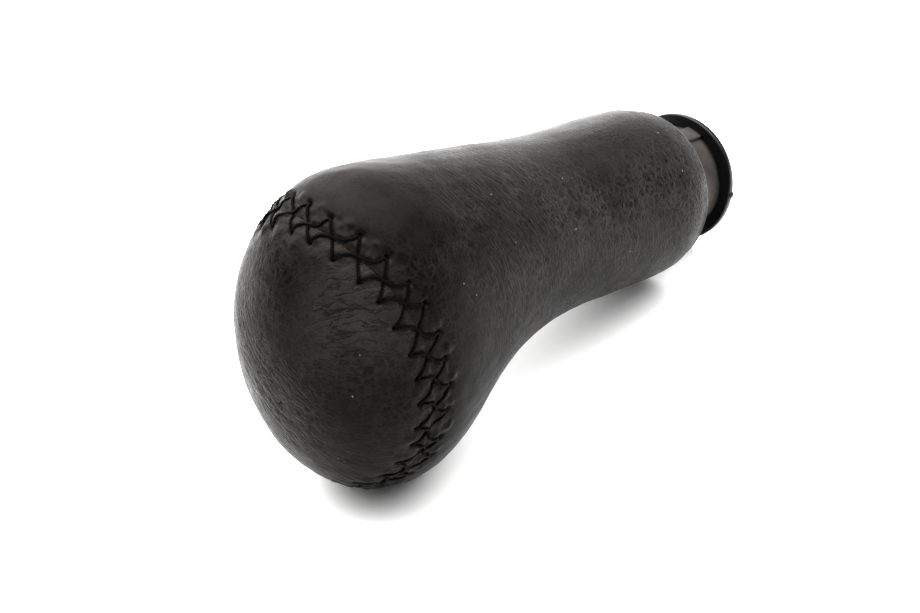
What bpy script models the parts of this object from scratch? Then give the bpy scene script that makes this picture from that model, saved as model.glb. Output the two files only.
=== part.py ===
"""A leather covered gear knob, laid down on its head and on the flange of its collar.

Metres, +Z up. The knob is drawn in a frame of its own: its spine starts at the middle of the
collar's end face, runs along -X through the stem and bends down into the head. Every place on
it is a distance along that spine and an angle round it, counted from underneath towards -Y.
An empty then tips the whole knob until head and flange touch the ground.
"""
import math

import bmesh
import bpy
import numpy as np
from mathutils import Matrix, Vector

# Spine, by distance from the collar's end face
SPINE_LENGTH = 0.104
BEND_START = 0.044
BEND_END_TO_CROWN = 0.022
BEND_END = SPINE_LENGTH - BEND_END_TO_CROWN
BEND_ANGLE = math.radians(21.8)

# Outer form of the leather
STEM_RADIUS = 0.0150
FLARE_START = 0.0335
WIDEST_TO_CROWN = 0.0238
WIDEST_AT = SPINE_LENGTH - WIDEST_TO_CROWN
HEAD_HALF_HEIGHT = 0.0293
HEAD_HALF_WIDTH = 0.0202
FLARE_POWER = 2.6
SHOULDER_POWER = 14.5
CROWN_POWER = 2.44

# Lip, where the leather turns in over the end of the core
LIP_AT = 0.0117
LIP_RADIUS = 0.0133
LIP_ROUNDING = 0.0081
LIP_EDGE = 0.0006

# Leather and fits
LEATHER = 0.0012
CLEARANCE = 0.0003
REST_PRESS = 0.0010

# Laced seam between sleeve and cap
SEAM_TO_CROWN = 0.0118
SEAM_AT = SPINE_LENGTH - SEAM_TO_CROWN
SEAM_FORWARD = 0.0031
SEAM_WAVE = 0.0034
SEAM_SKEW = 0.0010
SEAM_GAP = 0.0006
GROOVE_DEPTH = 0.0009
GROOVE_REACH = 0.0016
BED_DEPTH = 0.0005
BED_REACH = 0.0016
PUFF_HEIGHT = 0.00025
PUFF_REACH = 0.0014
STITCHES = 24
HOLE_OFFSET = 0.0028
THREAD_RADIUS = 0.0004
CROSSING_HEIGHT = 0.0002

# Collar that holds the gaiter
FLANGE_RADIUS = 0.0114
FLANGE_THICKNESS = 0.0014
FLANGE_EDGE = 0.0004
NECK_RADIUS = 0.0092
COLLAR_LENGTH = 0.0160
COLLAR_BORE_RADIUS = 0.0070
LUG_ANGLE = math.radians(170.0)
LUG_WIDTH = 0.0030
LUG_LENGTH = 0.0052
LUG_HEIGHT = 0.0007
LUG_ROOT = 0.0010
LUG_EDGE = 0.0003

# Bush for the lever
BUSH_RADIUS = 0.0088
BUSH_LENGTH = 0.0120
BUSH_BORE_RADIUS = 0.0060
BUSH_GROOVE_DEPTH = 0.0009
BUSH_GROOVE_WIDTH = 0.0040
BUSH_CHAMFER = 0.0006
LEVER_END_ROOM = 0.0015

# Fineness of the meshes
SEGMENTS_PER_STITCH = 2
CORE_SEGMENTS = 36
COLLAR_SEGMENTS = 48
BUSH_SEGMENTS = 36
THREAD_POINTS = 5
TABLE_STEPS = 600
SMOOTH_ANGLE = math.radians(35.0)
STEEPEST_TILT = math.radians(60.0)
HALVINGS = 50

# Rows of the leather, by distance from the seam along the surface and as shares of the rest
SEAM_ROWS = (0.0, 0.0012, 0.0028, 0.0044, 0.0070)
SLEEVE_SHARES = (0.0, 0.16, 0.32, 0.46, 0.58, 0.68, 0.77, 0.85, 0.93)
CAP_SHARES = (0.20, 0.40, 0.58, 0.74, 0.88)
LIP_SHARES = (0.25, 0.55)
UNDER_LIP_SHARES = (0.4, 1.0)
UNDER_FLARE_SHARES = (0.0, 0.22, 0.42, 0.60, 0.78, 1.0)
UNDER_CROWN_SHARES = (0.35, 0.60, 0.82)


# Spine

def bend_at(distance):
    """How far the spine has turned down at a distance along it."""
    share = np.clip((distance - BEND_START) / (BEND_END - BEND_START), 0.0, 1.0)
    return BEND_ANGLE * share * share * (3.0 - 2.0 * share)


def spine_table():
    """Distances along the spine, with the X and Z of its points."""
    distances = np.linspace(0.0, SPINE_LENGTH, TABLE_STEPS + 1)
    turns = bend_at((distances[1:] + distances[:-1]) / 2.0)
    step = distances[1]
    x = np.concatenate([[0.0], np.cumsum(-np.cos(turns) * step)])
    z = np.concatenate([[0.0], np.cumsum(-np.sin(turns) * step)])
    return distances, x, z


SPINE = spine_table()


def ring_point(distance, angle, half_height, half_width):
    """Points of the oval rings round the spine."""
    turn = bend_at(distance)
    below = half_height * np.cos(angle)
    x = np.interp(distance, SPINE[0], SPINE[1]) + below * np.sin(turn)
    y = -half_width * np.sin(angle)
    z = np.interp(distance, SPINE[0], SPINE[2]) - below * np.cos(turn)
    return np.stack(np.broadcast_arrays(x, y, z), axis=-1)


# Form of the leather and of what lies under it

def half_size(distance, head_half, inset):
    """Half size of the knob at a distance along the spine, on a skin lying inset inside it."""
    stem = STEM_RADIUS - inset
    head = head_half - inset
    crown = SPINE_LENGTH - inset
    rise = np.maximum(distance - FLARE_START, 0.0) / (WIDEST_AT - FLARE_START)
    flare = stem + (head - stem) * rise ** FLARE_POWER
    past = np.clip((distance - WIDEST_AT) / (crown - WIDEST_AT), 0.0, 1.0)
    dome = head * (1.0 - past ** CROWN_POWER) ** (1.0 / CROWN_POWER)
    joined = dome * (1.0 + (dome / flare) ** SHOULDER_POWER) ** (-1.0 / SHOULDER_POWER)
    to_lip = 1.0 - np.clip((distance - LIP_AT) / LIP_ROUNDING, 0.0, 1.0)
    return joined - (STEM_RADIUS - LIP_RADIUS) * (1.0 - np.sqrt(1.0 - to_lip ** 2))


def skin_point(distance, angle, inset):
    """Points of the skin that lies inset inside the leather's outer face."""
    half_height = half_size(distance, HEAD_HALF_HEIGHT, inset)
    half_width = half_size(distance, HEAD_HALF_WIDTH, inset)
    return ring_point(distance, angle, half_height, half_width)


def lifted_point(distance, angle, height):
    """A point at a height over the leather's plain outer face."""
    step = 1e-5
    here = skin_point(distance, angle, 0.0)
    onward = skin_point(distance + step, angle, 0.0) - here
    around = skin_point(distance, angle + step, 0.0) - here
    normal = np.cross(around, onward)
    return here + height * normal / np.linalg.norm(normal)


def seam_at(angle):
    """Distance along the spine at which the seam runs."""
    level = SEAM_AT + SEAM_FORWARD * np.cos(angle) + SEAM_SKEW * np.sin(angle)
    return level + SEAM_WAVE * np.cos(2.0 * angle)


def even_seam_angles(count):
    """Angles that part the seam into equal lengths."""
    angles = np.linspace(0.0, 2.0 * math.pi, TABLE_STEPS + 1)
    seam = skin_point(seam_at(angles), angles, 0.0)
    lengths = np.concatenate([[0.0], np.cumsum(np.linalg.norm(np.diff(seam, axis=0), axis=1))])
    return np.interp(np.arange(count) / count * lengths[-1], lengths, angles)


class Meridian:
    """One line of the leather's plain outer face from lip to crown, measured along it."""

    def __init__(self, angle):
        shares = np.linspace(0.0, 1.0, TABLE_STEPS + 1)
        self.angle = angle
        self.distances = LIP_AT + (SPINE_LENGTH - LIP_AT) * np.sin(shares * math.pi / 2.0)
        points = skin_point(self.distances, angle, 0.0)
        steps = np.linalg.norm(np.diff(points, axis=0), axis=1)
        self.lengths = np.concatenate([[0.0], np.cumsum(steps)])
        self.seam = np.interp(seam_at(angle), self.distances, self.lengths)
        self.crown = self.lengths[-1]

    def distance(self, length):
        """Distance along the spine of the point that lies a length from the lip."""
        return float(np.interp(length, self.lengths, self.distances))

    def length(self, distance):
        """Length along the surface from the lip."""
        return float(np.interp(distance, self.distances, self.lengths))


def lacing_relief(from_seam, stitch):
    """Height of the leather near the seam: pulled in at the seam, puffed up between the holes."""
    groove = GROOVE_DEPTH * math.exp(-((from_seam / GROOVE_REACH) ** 2))
    beside = (abs(from_seam) - HOLE_OFFSET) / PUFF_REACH
    puff = PUFF_HEIGHT * math.exp(-beside ** 2) * -math.cos(2.0 * math.pi * stitch)
    return puff - groove


# Lying on the ground

def leather_low(start, end, tilt):
    """Height of the leather's lowest point between two distances, once it is pressed, when the
    knob is tipped head up by tilt."""
    distances = np.linspace(start, end, TABLE_STEPS)
    x = np.interp(distances, SPINE[0], SPINE[1])
    z = np.interp(distances, SPINE[0], SPINE[2])
    middle = z * math.cos(tilt) - x * math.sin(tilt)
    below = half_size(distances, HEAD_HALF_HEIGHT, 0.0) * np.cos(bend_at(distances) - tilt)
    return (middle - below).min() + REST_PRESS


def flange_low(tilt):
    """Height of the flange's lowest edge when the knob is tipped head up by tilt."""
    return FLANGE_EDGE * math.sin(tilt) - FLANGE_RADIUS * math.cos(tilt)


def resting_tilt():
    """Tilt at which the head reaches as low as the flange or the lip, found by halving."""
    least = 0.0
    most = STEEPEST_TILT
    for _ in range(HALVINGS):
        tilt = (least + most) / 2.0
        stem_low = min(leather_low(LIP_AT, FLARE_START, tilt), flange_low(tilt))
        if leather_low(FLARE_START, SPINE_LENGTH, tilt) < stem_low:
            least = tilt
        else:
            most = tilt
    return tilt


def lying_matrix():
    """Tips the knob to its rest and raises it until it stands on the ground."""
    tilt = resting_tilt()
    rise = -leather_low(FLARE_START, SPINE_LENGTH, tilt)
    return Matrix.Translation((0.0, 0.0, rise)) @ Matrix.Rotation(tilt, 4, "Y")


LYING = lying_matrix()
UPRIGHT = LYING.inverted()


def pressed(point):
    """The point, kept from going below the ground that the knob lies on."""
    place = LYING @ Vector(point)
    place.z = max(place.z, 0.0)
    return UPRIGHT @ place


# Mesh building

def finish(name, mesh, color, roughness, metallic=0.0):
    """An object of its own material, shaded smooth apart from its sharp edges."""
    mesh.shade_smooth()
    mesh.set_sharp_from_angle(angle=SMOOTH_ANGLE)
    return add_object(name, mesh, color, roughness, metallic)


def add_object(name, data, color, roughness, metallic=0.0):
    """An object on the knob's empty, with its own Principled material."""
    material = bpy.data.materials.new(name)
    material.use_nodes = True
    shader = material.node_tree.nodes["Principled BSDF"]
    shader.inputs["Base Color"].default_value = (*color, 1.0)
    shader.inputs["Roughness"].default_value = roughness
    shader.inputs["Metallic"].default_value = metallic
    data.materials.append(material)
    piece = bpy.data.objects.new(name, data)
    bpy.context.collection.objects.link(piece)
    piece.parent = knob
    return piece


def loft(name, rows, start_tip=None, end_tip=None, ring=False):
    """A closed mesh through rows of points, ended by tips or joined back to its first row."""
    mesh = bpy.data.meshes.new(name)
    build = bmesh.new()
    made = [[build.verts.new(point) for point in row] for row in rows]
    count = len(made[0])
    pairs = list(zip(made[:-1], made[1:]))
    if ring:
        pairs.append((made[-1], made[0]))
    for low, high in pairs:
        for k in range(count):
            build.faces.new((low[k], low[(k + 1) % count], high[(k + 1) % count], high[k]))
    for tip, row in ((start_tip, made[0]), (end_tip, made[-1])):
        if tip is not None:
            point = build.verts.new(tip)
            for k in range(count):
                build.faces.new((row[k], row[(k + 1) % count], point))
    bmesh.ops.triangulate(build, faces=build.faces[:])
    bmesh.ops.recalc_face_normals(build, faces=build.faces[:])
    build.to_mesh(mesh)
    build.free()
    return mesh


def round_row(distance, radius, segments):
    """A round row of points about the straight part of the spine."""
    angles = np.arange(segments) / segments * 2.0 * math.pi
    return [Vector(point) for point in ring_point(distance, angles, radius, radius)]


def turned(name, profile, segments):
    """A ring turned about the spine from (distance, radius) corners."""
    return loft(name, [round_row(distance, radius, segments) for distance, radius in profile], ring=True)


# Leather

def outer_row(meridians, lengths):
    """A row of the leather's outer face, with the lacing's relief and pressed by the ground."""
    row = []
    for k, meridian in enumerate(meridians):
        relief = lacing_relief(lengths[k] - meridian.seam, k / SEGMENTS_PER_STITCH)
        point = lifted_point(meridian.distance(lengths[k]), meridian.angle, relief)
        row.append(pressed(point))
    return row


def under_row(angles, distances, inset):
    """A row of the skin that lies inset under the leather's outer face."""
    return [Vector(skin_point(distance, angle, inset)) for angle, distance in zip(angles, distances)]


def under_sleeve_rows(angles, inset):
    """Rows under the sleeve, from the lip's rounding up to the bed of the seam."""
    distances = [[LIP_AT + share * LIP_ROUNDING] * len(angles) for share in UNDER_LIP_SHARES]
    for share in UNDER_FLARE_SHARES:
        row = [FLARE_START + share * (seam_at(angle) - BED_REACH - FLARE_START) for angle in angles]
        distances.append(row)
    return [under_row(angles, row, inset) for row in distances]


def under_cap_rows(angles, inset):
    """Rows under the cap, from the bed of the seam to just short of the crown."""
    crown = SPINE_LENGTH - inset
    rows = []
    for share in (0.0, *UNDER_CROWN_SHARES):
        turn = math.sin(share * math.pi / 2.0)
        starts = [seam_at(angle) + BED_REACH for angle in angles]
        rows.append(under_row(angles, [start + turn * (crown - start) for start in starts], inset))
    return rows


def bed_row(angles, offset, inset):
    """A row along the bottom of the bed in which the leather's edges meet."""
    return under_row(angles, [seam_at(angle) + offset for angle in angles], inset + BED_DEPTH)


def leather_sleeve():
    """Stem and lower head: from the edge turned in over the core up to the seam."""
    name = "leather_sleeve"
    angles = even_seam_angles(STITCHES * SEGMENTS_PER_STITCH)
    outer = [Meridian(angle) for angle in angles]
    inner_end = LIP_AT + LEATHER
    turned_in = NECK_RADIUS + CLEARANCE
    corner = LIP_RADIUS - LIP_EDGE
    rows = [
        [pressed(ring_point(LIP_AT, angle, turned_in, turned_in)) for angle in angles],
        [pressed(ring_point(LIP_AT, angle, corner, corner)) for angle in angles],
        outer_row(outer, [m.length(LIP_AT + LIP_EDGE) for m in outer]),
    ]
    for share in LIP_SHARES:
        rows.append(outer_row(outer, [m.length(LIP_AT + share * LIP_ROUNDING) for m in outer]))
    for share in SLEEVE_SHARES:
        lengths = []
        for m in outer:
            start = m.length(LIP_AT + LIP_ROUNDING)
            lengths.append(start + share * (m.seam - SEAM_ROWS[-1] - start))
        rows.append(outer_row(outer, lengths))
    for offset in reversed(SEAM_ROWS):
        rows.append(outer_row(outer, [m.seam - SEAM_GAP / 2.0 - offset for m in outer]))
    rows.append(bed_row(angles, -SEAM_GAP / 2.0, LEATHER))
    rows += reversed(under_sleeve_rows(angles, LEATHER))
    rows.append(under_row(angles, [inner_end] * len(angles), LEATHER))
    rows.append([Vector(ring_point(inner_end, angle, turned_in, turned_in)) for angle in angles])
    mesh = loft(name, rows, ring=True)
    return finish(name, mesh, (0.016, 0.015, 0.015), 0.42)


def leather_cap():
    """Crown of the head, from the seam to the pole."""
    name = "leather_cap"
    angles = even_seam_angles(STITCHES * SEGMENTS_PER_STITCH)
    outer = [Meridian(angle) for angle in angles]
    rows = list(reversed(under_cap_rows(angles, LEATHER)))
    rows.append(bed_row(angles, SEAM_GAP / 2.0, LEATHER))
    for offset in SEAM_ROWS:
        rows.append(outer_row(outer, [m.seam + SEAM_GAP / 2.0 + offset for m in outer]))
    for share in CAP_SHARES:
        lengths = []
        for m in outer:
            start = m.seam + SEAM_ROWS[-1]
            lengths.append(start + share * (m.crown - start))
        rows.append(outer_row(outer, lengths))
    inner_pole = Vector(skin_point(SPINE_LENGTH - LEATHER, 0.0, LEATHER))
    outer_pole = Vector(skin_point(SPINE_LENGTH, 0.0, 0.0))
    mesh = loft(name, rows, start_tip=inner_pole, end_tip=outer_pole)
    return finish(name, mesh, (0.015, 0.014, 0.014), 0.40)


# Lacing

def thread_points(first_side, crossing_height):
    """Closed zigzag from hole to opposite hole, at a height of its own where the threads cross."""
    holes = even_seam_angles(STITCHES)
    holes = np.append(holes, 2.0 * math.pi)
    hole_height = THREAD_RADIUS + CLEARANCE
    points = []
    for k in range(STITCHES):
        side = first_side if k % 2 == 0 else -first_side
        for step in range(THREAD_POINTS):
            share = step / THREAD_POINTS
            angle = holes[k] + share * (holes[k + 1] - holes[k])
            meridian = Meridian(angle)
            offset = side * HOLE_OFFSET * math.cos(math.pi * share)
            middle = math.sin(math.pi * share) ** 2
            height = hole_height + (crossing_height - hole_height) * middle
            points.append(lifted_point(meridian.distance(meridian.seam + offset), angle, height))
    return points


def lacing_thread(name, first_side, crossing_height):
    """One of the two threads that cross over the seam."""
    curve = bpy.data.curves.new(name, "CURVE")
    curve.dimensions = "3D"
    curve.bevel_depth = THREAD_RADIUS
    curve.bevel_resolution = 1
    points = thread_points(first_side, crossing_height)
    spline = curve.splines.new("POLY")
    spline.points.add(len(points) - 1)
    for point, place in zip(spline.points, points):
        point.co = (*place, 1.0)
    spline.use_cyclic_u = True
    return add_object(name, curve, (0.02, 0.02, 0.021), 0.6)


# Core, bush and collar

def bush_start():
    """Distance at which the bush begins, behind the collar's spigot."""
    return COLLAR_LENGTH + CLEARANCE


def lever_bush():
    """Metal bush that the gear lever goes into, with a groove that the core grips."""
    name = "lever_bush"
    start = bush_start()
    end = start + BUSH_LENGTH
    groove_start = start + (BUSH_LENGTH - BUSH_GROOVE_WIDTH) / 2.0
    groove_end = groove_start + BUSH_GROOVE_WIDTH
    waist = BUSH_RADIUS - BUSH_GROOVE_DEPTH
    profile = [
        (start, BUSH_BORE_RADIUS + BUSH_CHAMFER),
        (start, BUSH_RADIUS - BUSH_CHAMFER),
        (start + BUSH_CHAMFER, BUSH_RADIUS),
        (groove_start, BUSH_RADIUS),
        (groove_start, waist),
        (groove_end, waist),
        (groove_end, BUSH_RADIUS),
        (end - BUSH_CHAMFER, BUSH_RADIUS),
        (end, BUSH_RADIUS - BUSH_CHAMFER),
        (end, BUSH_BORE_RADIUS),
        (start + BUSH_CHAMFER, BUSH_BORE_RADIUS),
    ]
    return finish(name, turned(name, profile, BUSH_SEGMENTS), (0.72, 0.53, 0.25), 0.35, 1.0)


def grip_core():
    """Moulded core: the knob's inner form, with the seats of bush and collar."""
    name = "grip_core"
    inset = LEATHER + CLEARANCE
    start = bush_start()
    seat_end = start + BUSH_LENGTH + CLEARANCE
    rib_start = start + (BUSH_LENGTH - BUSH_GROOVE_WIDTH) / 2.0 + CLEARANCE
    rib_end = rib_start + BUSH_GROOVE_WIDTH - 2.0 * CLEARANCE
    seat = BUSH_RADIUS + CLEARANCE
    rib = seat - BUSH_GROOVE_DEPTH
    socket = NECK_RADIUS + CLEARANCE
    end_face = LIP_AT + inset
    hollow = [
        (seat_end + LEVER_END_ROOM, BUSH_BORE_RADIUS),
        (seat_end, BUSH_BORE_RADIUS),
        (seat_end, seat),
        (rib_end, seat),
        (rib_end, rib),
        (rib_start, rib),
        (rib_start, seat),
        (start, seat),
        (start, socket),
        (end_face, socket),
    ]
    rows = [round_row(distance, radius, CORE_SEGMENTS) for distance, radius in hollow]
    angles = even_seam_angles(CORE_SEGMENTS)
    rows.append(under_row(angles, [end_face] * len(angles), inset))
    rows += under_sleeve_rows(angles, inset)
    rows.append(bed_row(angles, 0.0, inset))
    rows += under_cap_rows(angles, inset)
    bore_tip = Vector(ring_point(seat_end + LEVER_END_ROOM, 0.0, 0.0, 0.0))
    crown_tip = Vector(skin_point(SPINE_LENGTH - inset, 0.0, inset))
    mesh = loft(name, rows, start_tip=bore_tip, end_tip=crown_tip)
    return finish(name, mesh, (0.03, 0.03, 0.032), 0.55)


def collar_lug():
    """Guide for the union below: a short bar on the neck, against the flange."""
    mesh = bpy.data.meshes.new("collar_lug")
    build = bmesh.new()
    low = NECK_RADIUS - LUG_ROOT
    high = NECK_RADIUS + LUG_HEIGHT
    size = (LUG_LENGTH, LUG_WIDTH, high - low)
    bmesh.ops.create_cube(build, size=1.0, matrix=Matrix.Diagonal((*size, 1.0)))
    bmesh.ops.bevel(build, geom=build.edges[:], offset=LUG_EDGE, segments=1, affect="EDGES")
    build.to_mesh(mesh)
    build.free()
    lug = bpy.data.objects.new("collar_lug", mesh)
    bpy.context.collection.objects.link(lug)
    lug.parent = knob
    middle = (low + high) / 2.0
    along = FLANGE_THICKNESS / 2.0 + LUG_LENGTH / 2.0
    lug.location = (-along, -middle * math.sin(LUG_ANGLE), -middle * math.cos(LUG_ANGLE))
    lug.rotation_euler = (LUG_ANGLE + math.pi, 0.0, 0.0)
    lug.hide_render = True
    lug.display_type = "WIRE"
    return lug


def gaiter_collar():
    """Neck and flange that the lever's gaiter is clipped to, plugged into the core."""
    name = "gaiter_collar"
    profile = [
        (0.0, COLLAR_BORE_RADIUS),
        (0.0, FLANGE_RADIUS - FLANGE_EDGE),
        (FLANGE_EDGE, FLANGE_RADIUS),
        (FLANGE_THICKNESS - FLANGE_EDGE, FLANGE_RADIUS),
        (FLANGE_THICKNESS, FLANGE_RADIUS - FLANGE_EDGE),
        (FLANGE_THICKNESS, NECK_RADIUS),
        (COLLAR_LENGTH - FLANGE_EDGE, NECK_RADIUS),
        (COLLAR_LENGTH, NECK_RADIUS - FLANGE_EDGE),
        (COLLAR_LENGTH, COLLAR_BORE_RADIUS),
    ]
    piece = finish(name, turned(name, profile, COLLAR_SEGMENTS), (0.02, 0.02, 0.021), 0.45)
    union = piece.modifiers.new("lug", "BOOLEAN")
    union.operation = "UNION"
    union.object = collar_lug()
    return piece


def centre_on_ground(pieces):
    """Slides the knob along the ground until its box is centred over the origin."""
    depsgraph = bpy.context.evaluated_depsgraph_get()
    corners = []
    for piece in pieces:
        shape = piece.evaluated_get(depsgraph).to_mesh()
        corners += [piece.matrix_world @ vertex.co for vertex in shape.vertices]
    for axis in (0, 1):
        places = [corner[axis] for corner in corners]
        knob.location[axis] -= (min(places) + max(places)) / 2.0


for old in list(bpy.data.objects):
    bpy.data.objects.remove(old)

knob = bpy.data.objects.new("knob", None)
bpy.context.collection.objects.link(knob)
knob.matrix_world = LYING

over_height = CROSSING_HEIGHT + 2.0 * THREAD_RADIUS + CLEARANCE
centre_on_ground([
    leather_sleeve(),
    leather_cap(),
    grip_core(),
    lever_bush(),
    gaiter_collar(),
    lacing_thread("lacing_thread_under", 1.0, CROSSING_HEIGHT),
    lacing_thread("lacing_thread_over", -1.0, over_height),
])
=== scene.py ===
"""Looks of the lying gear knob: leather, laced seam, collar, bush, ground, light and camera.

Metres. The knob has a frame of its own, as in the part's source: its spine starts at the middle of
the collar's end face, runs along -X through the stem and bends down into the head.
"""
import math

import bmesh
import bpy
import numpy as np
from mathutils import Matrix, Vector


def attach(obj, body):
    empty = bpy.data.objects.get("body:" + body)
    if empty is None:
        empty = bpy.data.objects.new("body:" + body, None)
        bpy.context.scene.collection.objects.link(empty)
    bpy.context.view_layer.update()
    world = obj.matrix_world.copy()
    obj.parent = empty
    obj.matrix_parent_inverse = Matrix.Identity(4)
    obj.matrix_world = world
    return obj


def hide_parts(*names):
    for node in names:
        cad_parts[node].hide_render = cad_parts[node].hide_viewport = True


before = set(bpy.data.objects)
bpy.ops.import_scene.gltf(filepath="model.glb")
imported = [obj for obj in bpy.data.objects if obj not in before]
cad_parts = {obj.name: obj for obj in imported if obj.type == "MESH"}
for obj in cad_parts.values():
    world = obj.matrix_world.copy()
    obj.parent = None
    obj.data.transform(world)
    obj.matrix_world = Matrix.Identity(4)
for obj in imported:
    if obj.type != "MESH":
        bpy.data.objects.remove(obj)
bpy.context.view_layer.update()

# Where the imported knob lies: the middle of its collar's end face, and its tilt
COLLAR_CENTRE = (0.049197, -0.000099, 0.010768)
KNOB_TILT = math.radians(17.2526)
KNOB = Matrix.Translation(COLLAR_CENTRE) @ Matrix.Rotation(KNOB_TILT, 4, "Y")

# Form of the leather, with the sizes of the part's source
SPINE_LENGTH = 0.104
BEND_START = 0.044
BEND_END = 0.082
BEND_ANGLE = math.radians(21.8)
STEM_RADIUS = 0.0150
FLARE_START = 0.0335
WIDEST_AT = 0.0802
HEAD_HALF_HEIGHT = 0.0293
HEAD_HALF_WIDTH = 0.0202
FLARE_POWER = 2.6
SHOULDER_POWER = 14.5
CROWN_POWER = 2.44
LIP_AT = 0.0117
LIP_RADIUS = 0.0133
LIP_ROUNDING = 0.0081
LIP_EDGE = 0.0006
SEAM_AT = 0.0922
SEAM_FORWARD = 0.0031
SEAM_WAVE = 0.0034
SEAM_SKEW = 0.0010
SEAM_DIP = 0.0005
GROOVE_REACH = 0.0016
STITCHES = 29
HOLE_OFFSET = 0.0028
NECK_RADIUS = 0.0092

# Form of the lacing: how holes and threads draw the leather in, and how sleeve threads are hooked
HOLE_DEPTH = 0.00070
HOLE_REACH = 0.00048
DRAWN_DEPTH = 0.00022
DRAWN_INWARD = 0.0020
DRAWN_OUTWARD = 0.0016
THREAD_DENT = 0.00020
THREAD_DENT_REACH = 0.00032
LACED_REACH = 0.0045
SLEEVE_LEG_SLANT = 0.30
SLEEVE_LEG_POWER = 4

# Swellings of the leather at every stitch: height, offset from the seam, place in the stitch, and
# how far each reaches across and along the seam
SLEEVE_PUFF = (0.00036, -0.0031, 0.34, 0.00085, 0.0008)
CAP_PUFF = (0.00028, 0.0033, 0.5, 0.0012, 0.0011)
CAP_DIAMOND = (0.00030, 0.0010, 0.03, 0.0008, 0.0012)
SLEEVE_DIAMOND = (0.00022, -0.0010, 0.03, 0.0007, 0.0011)
SWELLING_VARIATION = 0.45

# Where the knob's weight presses the lacing flat, as shares of the seam and of the relief
PRESSED_REACH = 0.075
PRESSED_RELIEF = 0.8
PRESSED_DENT = 0.7
PRESSED_SINK = 0.0005

# Fineness
COLUMNS_PER_STITCH = 20
TABLE_STEPS = 600
LEG_STEPS = 33
PROBE_STEP = 1e-6
PROBE_TURN = 1e-3
SHORTEST_NORMAL = 1e-16
CROWN_MARGIN = 2e-6
RIPPLE_WAVES = 14
RIPPLE_SCALE = 1.8
RIPPLE_STRETCH = (0.7, 1.4)

# Scatter of the handwork, for each side of the seam and each stitch
HOLE_SCATTER = 0.00038
STITCH_SCATTER = 0.11
BOW_SCATTER = 0.12
SCATTER_SEED = 7

rng = np.random.default_rng(SCATTER_SEED)
SWELLING_SCATTER = rng.uniform(-1.0, 1.0, (4, STITCHES))[0]
HOLE_ACROSS = HOLE_SCATTER * rng.uniform(-1.0, 1.0, (2, STITCHES))
HOLE_ALONG = STITCH_SCATTER * rng.uniform(-1.0, 1.0, (2, STITCHES))
LEG_BOW = BOW_SCATTER * rng.uniform(-1.0, 1.0, (2, STITCHES))


# Form

def bend_at(distance):
    """How far the spine has turned down at a distance along it."""
    share = np.clip((distance - BEND_START) / (BEND_END - BEND_START), 0.0, 1.0)
    return BEND_ANGLE * share * share * (3.0 - 2.0 * share)


def spine_table():
    """Distances along the spine, with the X and Z of its points."""
    distances = np.linspace(0.0, SPINE_LENGTH, TABLE_STEPS + 1)
    turns = bend_at((distances[1:] + distances[:-1]) / 2.0)
    step = distances[1]
    x = np.concatenate([[0.0], np.cumsum(-np.cos(turns) * step)])
    z = np.concatenate([[0.0], np.cumsum(-np.sin(turns) * step)])
    return distances, x, z


SPINE = spine_table()


def ring_point(distance, angle, half_height, half_width):
    """Points of the oval rings round the spine."""
    turn = bend_at(distance)
    below = half_height * np.cos(angle)
    x = np.interp(distance, SPINE[0], SPINE[1]) + below * np.sin(turn)
    y = -half_width * np.sin(angle)
    z = np.interp(distance, SPINE[0], SPINE[2]) - below * np.cos(turn)
    return np.stack(np.broadcast_arrays(x, y, z), axis=-1)


def half_size(distance, head):
    """Half size of the knob at a distance along the spine."""
    rise = np.maximum(distance - FLARE_START, 0.0) / (WIDEST_AT - FLARE_START)
    flare = STEM_RADIUS + (head - STEM_RADIUS) * rise ** FLARE_POWER
    past = np.clip((distance - WIDEST_AT) / (SPINE_LENGTH - WIDEST_AT), 0.0, 1.0)
    dome = head * (1.0 - past ** CROWN_POWER) ** (1.0 / CROWN_POWER)
    joined = dome * (1.0 + (dome / flare) ** SHOULDER_POWER) ** (-1.0 / SHOULDER_POWER)
    to_lip = 1.0 - np.clip((distance - LIP_AT) / LIP_ROUNDING, 0.0, 1.0)
    return joined - (STEM_RADIUS - LIP_RADIUS) * (1.0 - np.sqrt(1.0 - to_lip ** 2))


def skin_point(distance, angle):
    """Points of the leather's plain outer face."""
    return ring_point(distance, angle, half_size(distance, HEAD_HALF_HEIGHT),
                      half_size(distance, HEAD_HALF_WIDTH))


def seam_at(angle):
    """Distance along the spine at which the seam runs."""
    level = SEAM_AT + SEAM_FORWARD * np.cos(angle) + SEAM_SKEW * np.sin(angle)
    return level + SEAM_WAVE * np.cos(2.0 * angle)


def stitch_angles(stitches):
    """Angles of places along the seam, counted in stitches."""
    angles = np.linspace(0.0, 2.0 * math.pi, TABLE_STEPS + 1)
    seam = skin_point(seam_at(angles), angles)
    lengths = np.concatenate([[0.0], np.cumsum(np.linalg.norm(np.diff(seam, axis=0), axis=1))])
    return np.interp(np.asarray(stitches) / STITCHES * lengths[-1], lengths, angles), lengths[-1]


SEAM_LENGTH = stitch_angles(0.0)[1]
PITCH = SEAM_LENGTH / STITCHES


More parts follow.
